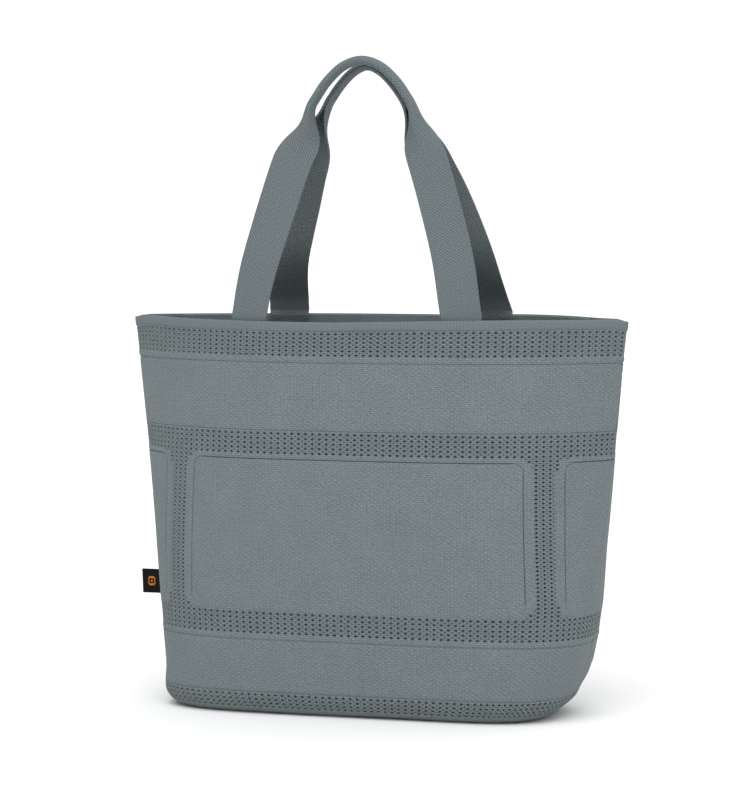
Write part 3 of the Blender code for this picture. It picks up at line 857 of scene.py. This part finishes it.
def stitch_points(start, end, across, up, radius):
    """A short stitch as a tapered capsule: rings of points from its start to its end."""
    points = []
    for along, size in STITCH_SECTIONS:
        centre = start + (end - start) * along
        for turn in range(STITCH_SIDES):
            angle = turn * math.tau / STITCH_SIDES
            points.append(centre + (across * math.cos(angle) + up * math.sin(angle)) * radius * size)
    return points


def add_stitches(name, stitches, material, body, nodes, radius):
    """One piece of many stitches, each given by its start, its end and its outward direction."""
    points = []
    faces = []
    uv = []
    rings = len(STITCH_SECTIONS)
    for start, end, outward in stitches:
        first = len(points)
        length = np.linalg.norm(end - start)
        across = np.cross((end - start) / length, outward)
        points += stitch_points(start, end, across, outward, radius)
        faces += [tuple(first + corner for corner in face) for face in ring_faces(rings, STITCH_SIDES)]
        uv += [(ring * length / 4.0, turn * 0.5) for ring in range(rings)
               for turn in range(STITCH_SIDES)]
    piece = make_piece(name, points, faces, material, uv)
    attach(piece, body)
    if nodes:
        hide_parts(*nodes)
    return piece


def wall_stitches(side, places, depth):
    """Stitches on the wall from pairs of (run, level) places, at a depth."""
    skin = SKINS[side]
    made = []
    for (run, level), (next_run, next_level) in places:
        start = skin.point(level, skin.rim_share(run), depth)
        end = skin.point(next_level, skin.rim_share(next_run), depth)
        outward = start - skin.point(level, skin.rim_share(run), depth + 1.0)
        made.append((start, end, outward / np.linalg.norm(outward)))
    return made


def dashed(first, last, pitch=3.0, share=0.72):
    """Pairs of places that cut a straight line into stitches."""
    count = max(round(math.dist(first, last) / pitch), 1)
    pairs = []
    for step in range(count):
        ends = [(step + offset) / count for offset in ((1.0 - share) / 2.0, (1.0 + share) / 2.0)]
        pairs.append(tuple((blend(first[0], last[0], end), blend(first[1], last[1], end))
                           for end in ends))
    return pairs


BOX_TOP = 376.2
BOX_BOTTOM = 347.0
BOX_HALF_WIDTH = 15.5
BOX_PITCH = 2.7


def box_stitches(side, middle):
    """The crossed box that holds a strap end, and its two level rows on the outside of the bag."""
    left, right = middle - BOX_HALF_WIDTH, middle + BOX_HALF_WIDTH
    corners = ((left, BOX_TOP), (right, BOX_TOP), (right, BOX_BOTTOM), (left, BOX_BOTTOM))
    lines = [(0, 1), (1, 2), (2, 3), (3, 0), (0, 2), (1, 3)]
    box = [pair for first, last in lines for pair in dashed(corners[first], corners[last], BOX_PITCH)]
    inside = wall_stitches(side, box, STRAP_INSET + WEBBING_THICKNESS + 0.1)
    made = [(start, end, -outward) for start, end, outward in inside]
    for first, last, depth in ((0, 1, -1.0), (2, 3, 0.0)):
        made += wall_stitches(side, dashed(corners[first], corners[last], BOX_PITCH), depth)
    return made


def add_seam_stitches(thread):
    """The row of stitches that holds the hem, and the boxes that hold the straps."""
    for prefix, side in SIDES:
        row = dashed((-222.0, HEM_BOTTOM + 1.1), (222.0, HEM_BOTTOM + 1.1))
        add_stitches(f"{prefix}_hem_stitches", wall_stitches(side, row, -0.75), thread, "root",
                     [f"{prefix}_rim_stitch"], 0.32)
        for word, hand in HANDS:
            made = box_stitches(side, hand * STRAP_CENTRE + STRAP_SHIFT[side, hand])
            add_stitches(f"{prefix}_{word}_strap_stitches", made, thread, "root",
                         [f"{prefix}_{word}_box_stitch"], 0.36)


CORD_SIDES = 24
CORD_GAP = WEBBING_THICKNESS + 0.9


def add_grip_insides(cord, thread):
    """The laid cord inside each rolled grip, and the stitches that close the roll."""
    for (prefix, side), arch in zip(SIDES, (FRONT_ARCH, BACK_ARCH)):
        stations = [(point, tangent, along, *handle_frame(side, point, tangent))
                    for point, tangent, along in arch_stations(side, arch, 1.5)
                    if point.z - RIM_HEIGHT >= 200.0]
        points = []
        uv = []
        for point, tangent, along, sideways, outward in stations:
            for turn in range(CORD_SIDES):
                angle = turn * math.tau / CORD_SIDES
                swell = 1.0 + 0.05 * math.cos(3.0 * angle - along * 0.5)
                across = (GRIP_HALF_THICKNESS - CORD_GAP) * swell * math.cos(angle)
                depth = (GRIP_HALF_DEPTH - CORD_GAP) * swell * math.sin(angle)
                points.append(point + sideways * across + outward * depth)
                uv.append((angle * 4.0, along))
        faces = ring_faces(len(stations), CORD_SIDES)
        core = make_piece(f"{prefix}_grip_cord", points, faces, cord, uv)
        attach(core, f"{prefix}_handle")
        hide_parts(f"{prefix}_grip_core")
        stitches = []
        for point, tangent, along, sideways, outward in stations[2:-2:2]:
            middle = point - outward * (GRIP_HALF_DEPTH - 0.05)
            reach = sideways * 1.15 + tangent * 0.7
            stitches.append((np.array(middle - reach), np.array(middle + reach), -np.array(outward)))
        add_stitches(f"{prefix}_grip_whip_stitches", stitches, thread, f"{prefix}_handle",
                     [f"{prefix}_grip_stitch"], 0.38)


LABEL_LENGTH = 22.3
LABEL_HALF_HEIGHT = 11.9
LABEL_CENTRE = 115.8
LABEL_THICKNESS = 0.34
LABEL_LAYER = ((0.15, 0.62), (6.0, 0.42), (12.0, 0.4), (18.0, 0.45), (21.2, 0.5), (22.0, 0.33))
MARK_CENTRE = 12.6


def label_place(along, outward, level):
    """World place of a point of the label, which is wavy along its length and leans a little."""
    rise = level - LABEL_CENTRE
    seam = half_width_at(LABEL_CENTRE) + 0.2 + rise * 0.045
    lean = 0.00035 * along * along * math.sin(rise / LABEL_HALF_HEIGHT * 1.2)
    return (-(seam + along), outward + 0.4 * math.sin(along / LABEL_LENGTH * 2.6) + lean, level)


def mark_stitches():
    """Level threads of a plain square with a dot in it, on both faces of the label."""
    threads = []
    for face in (-1.0, 1.0):
        for rise in np.arange(-4.2, 4.3, 0.7):
            reach = 3.7 - 0.55 * max(abs(rise) - 3.0, 0.0)
            spans = [(-reach, reach)]
            if abs(rise) < 2.6:
                spans = [(-reach, 1.2 - reach), (-0.9, 0.9), (reach - 1.2, reach)]
            if 0.8 < abs(rise) < 2.6:
                spans.pop(1)
            for span in spans:
                start, end = (np.array(label_place(MARK_CENTRE + place, face * 0.7,
                                                   LABEL_CENTRE + rise)) for place in span)
                threads.append((start, end, np.array((0.0, face, 0.0))))
    return threads


def add_label(satin, mark):
    """A satin label folded over its free edge, with a plain woven square on both faces."""
    fold = [Vector((along, -outward, 0.0)) for along, outward in LABEL_LAYER]
    fold.append(Vector((LABEL_LENGTH, 0.0, 0.0)))
    fold += [Vector((along, outward, 0.0)) for along, outward in reversed(LABEL_LAYER)]
    fold = [catmull_rom(fold, step / 72.0) for step in range(73)]
    points = []
    uv = []
    heights = (-1.0, -0.985, -0.9, -0.5, 0.0, 0.5, 0.9, 0.985, 1.0)
    for height in heights:
        level = LABEL_CENTRE + LABEL_HALF_HEIGHT * height
        half = LABEL_THICKNESS / (4.0 if abs(height) == 1.0 else 2.0)
        for path in (fold, fold[::-1]):
            for index, point in enumerate(path):
                before, after = path[max(index - 1, 0)], path[min(index + 1, len(path) - 1)]
                tangent = (after - before).normalized()
                spot = point + Vector((tangent.y, -tangent.x, 0.0)) * half
                points.append(label_place(spot.x, spot.y, level))
                uv.append((spot.x + index * 0.1, level))
    label = make_piece("seam_label", points, ring_faces(len(heights), 2 * len(fold)), satin, uv)
    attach(label, "label")
    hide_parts("side_label")
    patch = add_stitches("seam_label_square", mark_stitches(), mark, "label", [], 0.36)


# ---------------------------------------------------------------- shader values

def put(tree, value, socket):
    """Gives an input a number, a colour, another node's output or a field."""
    if isinstance(value, Field):
        value = value.socket
    if isinstance(value, bpy.types.NodeSocket):
        tree.links.new(value, socket)
    else:
        socket.default_value = value


def node(tree, kind, inputs=None, **settings):
    """A new shader node with some of its settings and inputs."""
    made = tree.nodes.new(kind)
    for key, value in settings.items():
        setattr(made, key, value)
    for key, value in (inputs or {}).items():
        put(tree, value, made.inputs[key])
    return made


def math_node(tree, operation, *values, clamp=False):
    inputs = dict(enumerate(values))
    made = node(tree, "ShaderNodeMath", inputs, operation=operation, use_clamp=clamp)
    return Field(tree, made.outputs[0])


class Field:
    """A value that varies over a surface, held by a shader output, used in sums like a number."""

    def __init__(self, tree, socket):
        self.tree = tree
        self.socket = socket

    def apply(self, operation, *others):
        return math_node(self.tree, operation, self, *others)

    def __add__(self, other):
        return self.apply("ADD", other)

    def __sub__(self, other):
        return self.apply("SUBTRACT", other)

    def __rsub__(self, other):
        return math_node(self.tree, "SUBTRACT", other, self)

    def __mul__(self, other):
        return self.apply("MULTIPLY", other)

    def __truediv__(self, other):
        return self.apply("DIVIDE", other)

    def __abs__(self):
        return self.apply("ABSOLUTE")

    def held(self):
        """The value, held between 0 and 1."""
        return math_node(self.tree, "ADD", self, 0.0, clamp=True)

    def wave(self, pitch, phase=0.0):
        """A sine of this length, with a pitch in the same unit."""
        return (self * (math.tau / pitch) + phase).apply("SINE")


# ---------------------------------------------------------------- materials

KNIT_DARK = (0.07, 0.086, 0.09)
KNIT_LIGHT = (0.201, 0.241, 0.25)
# dark tone of the painted shade in the knit's hollows and on its frame line
HOLLOW_SHADE_TONE = (0.012, 0.015, 0.016)
WEB_DARK = (0.03, 0.038, 0.04)
WEB_LIGHT = (0.212, 0.255, 0.265)
TAPE_TONE = 1.7
THREAD_DARK = (0.06, 0.074, 0.077)
THREAD_LIGHT = (0.165, 0.2, 0.208)
CORD_DARK = (0.4, 0.39, 0.36)
CORD_LIGHT = (0.6, 0.59, 0.55)
MARK_DARK = (0.45, 0.11, 0.01)
MARK_LIGHT = (0.85, 0.26, 0.03)
SATIN_DARK = (0.0015, 0.0015, 0.002)
SATIN_LIGHT = (0.006, 0.006, 0.0068)
BOARD_DARK = (0.12, 0.128, 0.135)
BOARD_LIGHT = (0.2, 0.21, 0.22)
WALE = 3.17
COURSE = 1.96
DIAGONAL_PITCH = 2.0 * WALE
LINE_RADIUS = 9.2
LINE_HALF_WIDTH = 0.75


def start_material(name, roughness, sheen=0.0, specular=0.25):
    material = bpy.data.materials.new(name)
    material.use_nodes = True
    tree = material.node_tree
    shader = tree.nodes["Principled BSDF"]
    shader.inputs["Roughness"].default_value = roughness
    shader.inputs["Specular IOR Level"].default_value = specular
    shader.inputs["Sheen Weight"].default_value = sheen
    shader.inputs["Sheen Roughness"].default_value = 0.5
    return material, tree, shader


def cloth_place(tree):
    """The cloth map in millimetres: the place itself, and its U and V as fields."""
    place = node(tree, "ShaderNodeUVMap", uv_map="cloth_mm").outputs["UV"]
    split = node(tree, "ShaderNodeSeparateXYZ", {0: place})
    return place, Field(tree, split.outputs[0]), Field(tree, split.outputs[1])


def noise_at(tree, place, scale, detail=2.0):
    """Noise over the cloth map, with a scale per millimetre."""
    inputs = {"Scale": scale, "Detail": detail, "Vector": place}
    made = node(tree, "ShaderNodeTexNoise", inputs, noise_dimensions="2D")
    return Field(tree, made.outputs[0])


def mixed(tree, factor, first, second):
    inputs = {"Factor": factor, "A": first, "B": second}
    return node(tree, "ShaderNodeMix", inputs, data_type="RGBA").outputs["Result"]


def finish(tree, shader, colours, factor, height, strength, distance):
    """Base colour between two tones by a factor, and a bump from a height."""
    dark, light = colours
    colour = mixed(tree, factor, (*dark, 1.0), (*light, 1.0))
    put(tree, colour, shader.inputs["Base Color"])
    inputs = {"Strength": strength, "Distance": distance, "Height": height}
    put(tree, node(tree, "ShaderNodeBump", inputs).outputs[0], shader.inputs["Normal"])
    return colour


def knit_stitches(u, v):
    """Height of knitted stitches: slanted legs in pairs, one pair to a wale."""
    across = u.apply("PINGPONG", WALE / 2.0) / (WALE / 2.0)
    slant = v / COURSE + across * 0.35
    leg = ((slant * math.tau).apply("COSINE") + 1.0) * 0.5
    ridge = abs(u.wave(2.0 * WALE))
    return (leg * 0.9 + 0.1) * (ridge * 0.55 + 0.45)


def frame_line(u, v):
    """1 on the rounded line inside the framed panels, 0 away from it and along their lower edge."""
    inner, outer = INNER_LINE * COLUMN_PITCH, OUTER_LINE * COLUMN_PITCH
    top, bottom = FRAME_TOP - TOP_LINE_INSET, FRAME_BOTTOM + 1.0
    from_strip = abs(abs(u) - (inner + outer) / 2.0)
    from_middle = abs(v - (top + bottom) / 2.0)
    across = ((outer - inner) / 2.0 + LINE_RADIUS - from_strip).apply("MAXIMUM", 0.0)
    upward = (from_middle - ((top - bottom) / 2.0 - LINE_RADIUS)).apply("MAXIMUM", 0.0)
    away = (across * across + upward * upward).apply("SQRT")
    line = (1.0 - abs(away - LINE_RADIUS) / LINE_HALF_WIDTH).held()
    return line * ((v - (FRAME_BOTTOM + 3.0)) / 14.0).held()


def knit_material():
    """Fine matt knit: pairs of slanted stitches, softly mottled yarn, and painted shade in the hollows
    and on the frame line.
    """
    material, tree, shader = start_material("slate_knit", 0.94, 0.06)
    place, u, v = cloth_place(tree)
    stitch = knit_stitches(u, v)
    along = v * (WALE / COURSE)
    rising = (u + along).wave(DIAGONAL_PITCH)
    falling = (u - along).wave(DIAGONAL_PITCH)
    patches = (noise_at(tree, place, 0.11, 1.0) * 2.5 - 0.75).held()
    mottle = (noise_at(tree, place, 0.035, 3.0) * 0.16 + noise_at(tree, place, 0.35, 1.0) * 0.45
              + noise_at(tree, place, 0.9) * 0.5)
    factor = (stitch * 0.5 + rising * patches * 0.15 + falling * 0.045 + mottle - 0.175).held()
    line = frame_line(u, v)
    height = stitch + noise_at(tree, place, 1.3) - line
    yarn = finish(tree, shader, (KNIT_DARK, KNIT_LIGHT), factor, height, 0.75, 0.00045)
    # painted shade: the hollows and the frame line are mixed towards a dark tone
    hollow_shade = node(tree, "ShaderNodeAttribute", attribute_name="hollow_shade").outputs["Fac"]
    depth = (line * 0.5 + Field(tree, hollow_shade)).held()
    put(tree, mixed(tree, depth, yarn, (*HOLLOW_SHADE_TONE, 1.0)), shader.inputs["Base Color"])
    return material


def hem_material():
    """Rib of the rim hem: upright ribs with darker furrows."""
    material, tree, shader = start_material("knit_rib", 0.94, 0.06)
    place, u, v = cloth_place(tree)
    ribs = (1.0 - u.wave(RIB_PITCH, math.pi / 2.0)) * 0.5
    factor = (ribs * 0.32 + abs(v.wave(2.8)) * 0.22 + noise_at(tree, place, 0.7) * 0.35).held()
    finish(tree, shader, (KNIT_DARK, KNIT_LIGHT), factor, factor, 0.5, 0.0004)
    return material


def webbing_material(name, pitch=3.2, tone=1.0):
    """Woven webbing: short raised floats that step up in diagonals."""
    material, tree, shader = start_material(name, 0.88, 0.05)
    place, u, v = cloth_place(tree)
    weave = (u + v).wave(pitch) * 0.3 + ((v - u).wave(pitch * 0.92) * 0.2 + 0.5)
    factor = (weave * 0.5 + noise_at(tree, place, 0.9) * 0.8 - 0.145).held()
    colours = [[tone * value for value in colour] for colour in (WEB_DARK, WEB_LIGHT)]
    finish(tree, shader, colours, factor, weave, 0.8, 0.0004)
    return material


def thread_material(name, dark, light, pitch=1.1):
    """Twisted sewing thread, lighter on the crown of each ply."""
    material, tree, shader = start_material(name, 0.6, 0.1)
    place, u, v = cloth_place(tree)
    ply = ((u + v).wave(pitch) + 1.0) * 0.5
    factor = (ply * 0.6 + noise_at(tree, place, 0.8) * 0.4).held()
    finish(tree, shader, (dark, light), factor, ply, 0.5, 0.0002)
    return material


def satin_material():
    """Black satin label: tight crosswise threads with a slight gloss."""
    material, tree, shader = start_material("black_satin", 0.6, specular=0.12)
    place, _, v = cloth_place(tree)
    threads = (v.wave(0.5) + 1.0) * 0.5
    factor = (threads * 0.5 + noise_at(tree, place, 1.5) * 0.4).held()
    finish(tree, shader, (SATIN_DARK, SATIN_LIGHT), factor, threads, 0.4, 0.0001)
    return material


def board_material():
    """Matt extruded sheet with a fine pebbled grain."""
    material, tree, shader = start_material("grey_board", 0.6)
    place = node(tree, "ShaderNodeTexCoord").outputs["Object"]
    grain = node(tree, "ShaderNodeTexVoronoi", {"Scale": 900.0, "Vector": place})
    cloud = node(tree, "ShaderNodeTexNoise", {"Scale": 14.0, "Vector": place})
    grain = Field(tree, grain.outputs["Distance"])
    factor = (grain * 0.5 + Field(tree, cloud.outputs[0]) * 0.5).held()
    finish(tree, shader, (BOARD_DARK, BOARD_LIGHT), factor, grain, 0.3, 0.0002)
    return material


# ---------------------------------------------------------------- camera, light and floor

CAMERA_DISTANCE = 2838.0
CAMERA_AZIMUTH = math.radians(16.12)
CAMERA_YAW = math.radians(16.09)
CAMERA_HEIGHT = 486.9
CAMERA_PITCH = math.radians(3.77)
CAMERA_LENS = 132.3
FLOOR_HALF_SIZE = 30000.0
FLOOR_DARK = (0.90, 0.90, 0.90)
FLOOR_LIGHT = (0.93, 0.93, 0.93)
SKY_STRENGTH = 1.04
SEEN_STRENGTH = 1.05
SIDE_FALL = 0.5
SIDE_TILT = 0.22
SUN_STRENGTH = 1.5
SUN_DIRECTION = (-0.05, 0.62, -1.0)


def add_camera():
    data = bpy.data.cameras.new("camera")
    data.lens = CAMERA_LENS
    data.sensor_width = 36.0
    data.clip_end = 50.0
    camera = bpy.data.objects.new("camera", data)
    camera.location = Vector((CAMERA_DISTANCE * math.sin(CAMERA_AZIMUTH),
                              -CAMERA_DISTANCE * math.cos(CAMERA_AZIMUTH), CAMERA_HEIGHT)) * MM
    camera.rotation_euler = (math.pi / 2.0 - CAMERA_PITCH, 0.0, CAMERA_YAW)
    bpy.context.collection.objects.link(camera)
    bpy.context.scene.camera = camera


def add_floor():
    material, tree, shader = start_material("floor", 0.95)
    noise = node(tree, "ShaderNodeTexNoise", {"Scale": 3.0}).outputs[0]
    put(tree, mixed(tree, noise, (*FLOOR_DARK, 1.0), (*FLOOR_LIGHT, 1.0)), shader.inputs["Base Color"])
    reach = FLOOR_HALF_SIZE * MM
    points = [(x * reach, y * reach, 0.0) for x, y in ((-1, -1), (1, -1), (1, 1), (-1, 1))]
    mesh = bpy.data.meshes.new("floor")
    mesh.from_pydata(points, [], [(0, 1, 2, 3)])
    mesh.materials.append(material)
    floor = bpy.data.objects.new("floor", mesh)
    bpy.context.collection.objects.link(floor)


def add_light():
    """A white studio that is a little darker to the sides, and a wide soft sun from the front."""
    world = bpy.data.worlds.new("studio")
    bpy.context.scene.world = world
    world.use_nodes = True
    tree = world.node_tree
    background = tree.nodes["Background"]
    background.inputs["Color"].default_value = (1.0, 1.0, 1.0, 1.0)
    direction = node(tree, "ShaderNodeTexCoord").outputs["Generated"]
    across = Field(tree, node(tree, "ShaderNodeSeparateXYZ", {0: direction}).outputs[0])
    seen = Field(tree, node(tree, "ShaderNodeLightPath").outputs["Is Camera Ray"])
    sky = (across * SIDE_TILT + across * across * -SIDE_FALL + 1.0) * SKY_STRENGTH
    put(tree, sky * (1.0 - seen) + seen * SEEN_STRENGTH, background.inputs["Strength"])
    sun = bpy.data.lights.new("key_light", "SUN")
    sun.energy = SUN_STRENGTH
    sun.angle = math.radians(50.0)
    lamp = bpy.data.objects.new("key_light", sun)
    lamp.location = (-1.0, -2.0, 3.0)
    lamp.rotation_euler = Vector(SUN_DIRECTION).to_track_quat("-Z", "Y").to_euler()
    bpy.context.collection.objects.link(lamp)
    bpy.context.scene.view_settings.view_transform = "Standard"


def build():
    add_camera()
    add_floor()
    add_light()
    knit = knit_material()
    hem = hem_material()
    tape = webbing_material("slate_tape", 1.6, TAPE_TONE)
    webbing = webbing_material("slate_webbing")
    thread = thread_material("slate_thread", THREAD_DARK, THREAD_LIGHT)
    cord = thread_material("undyed_cord", CORD_DARK, CORD_LIGHT, 2.5)
    mark = thread_material("orange_thread", MARK_DARK, MARK_LIGHT)
    add_knit_panels(knit, add_rims(hem, tape))
    add_seam_bindings(tape)
    add_base_knit(knit)
    add_handles(webbing)
    add_seam_stitches(thread)
    add_grip_insides(cord, thread)
    add_base_board(board_material())
    add_label(satin_material(), mark)


build()
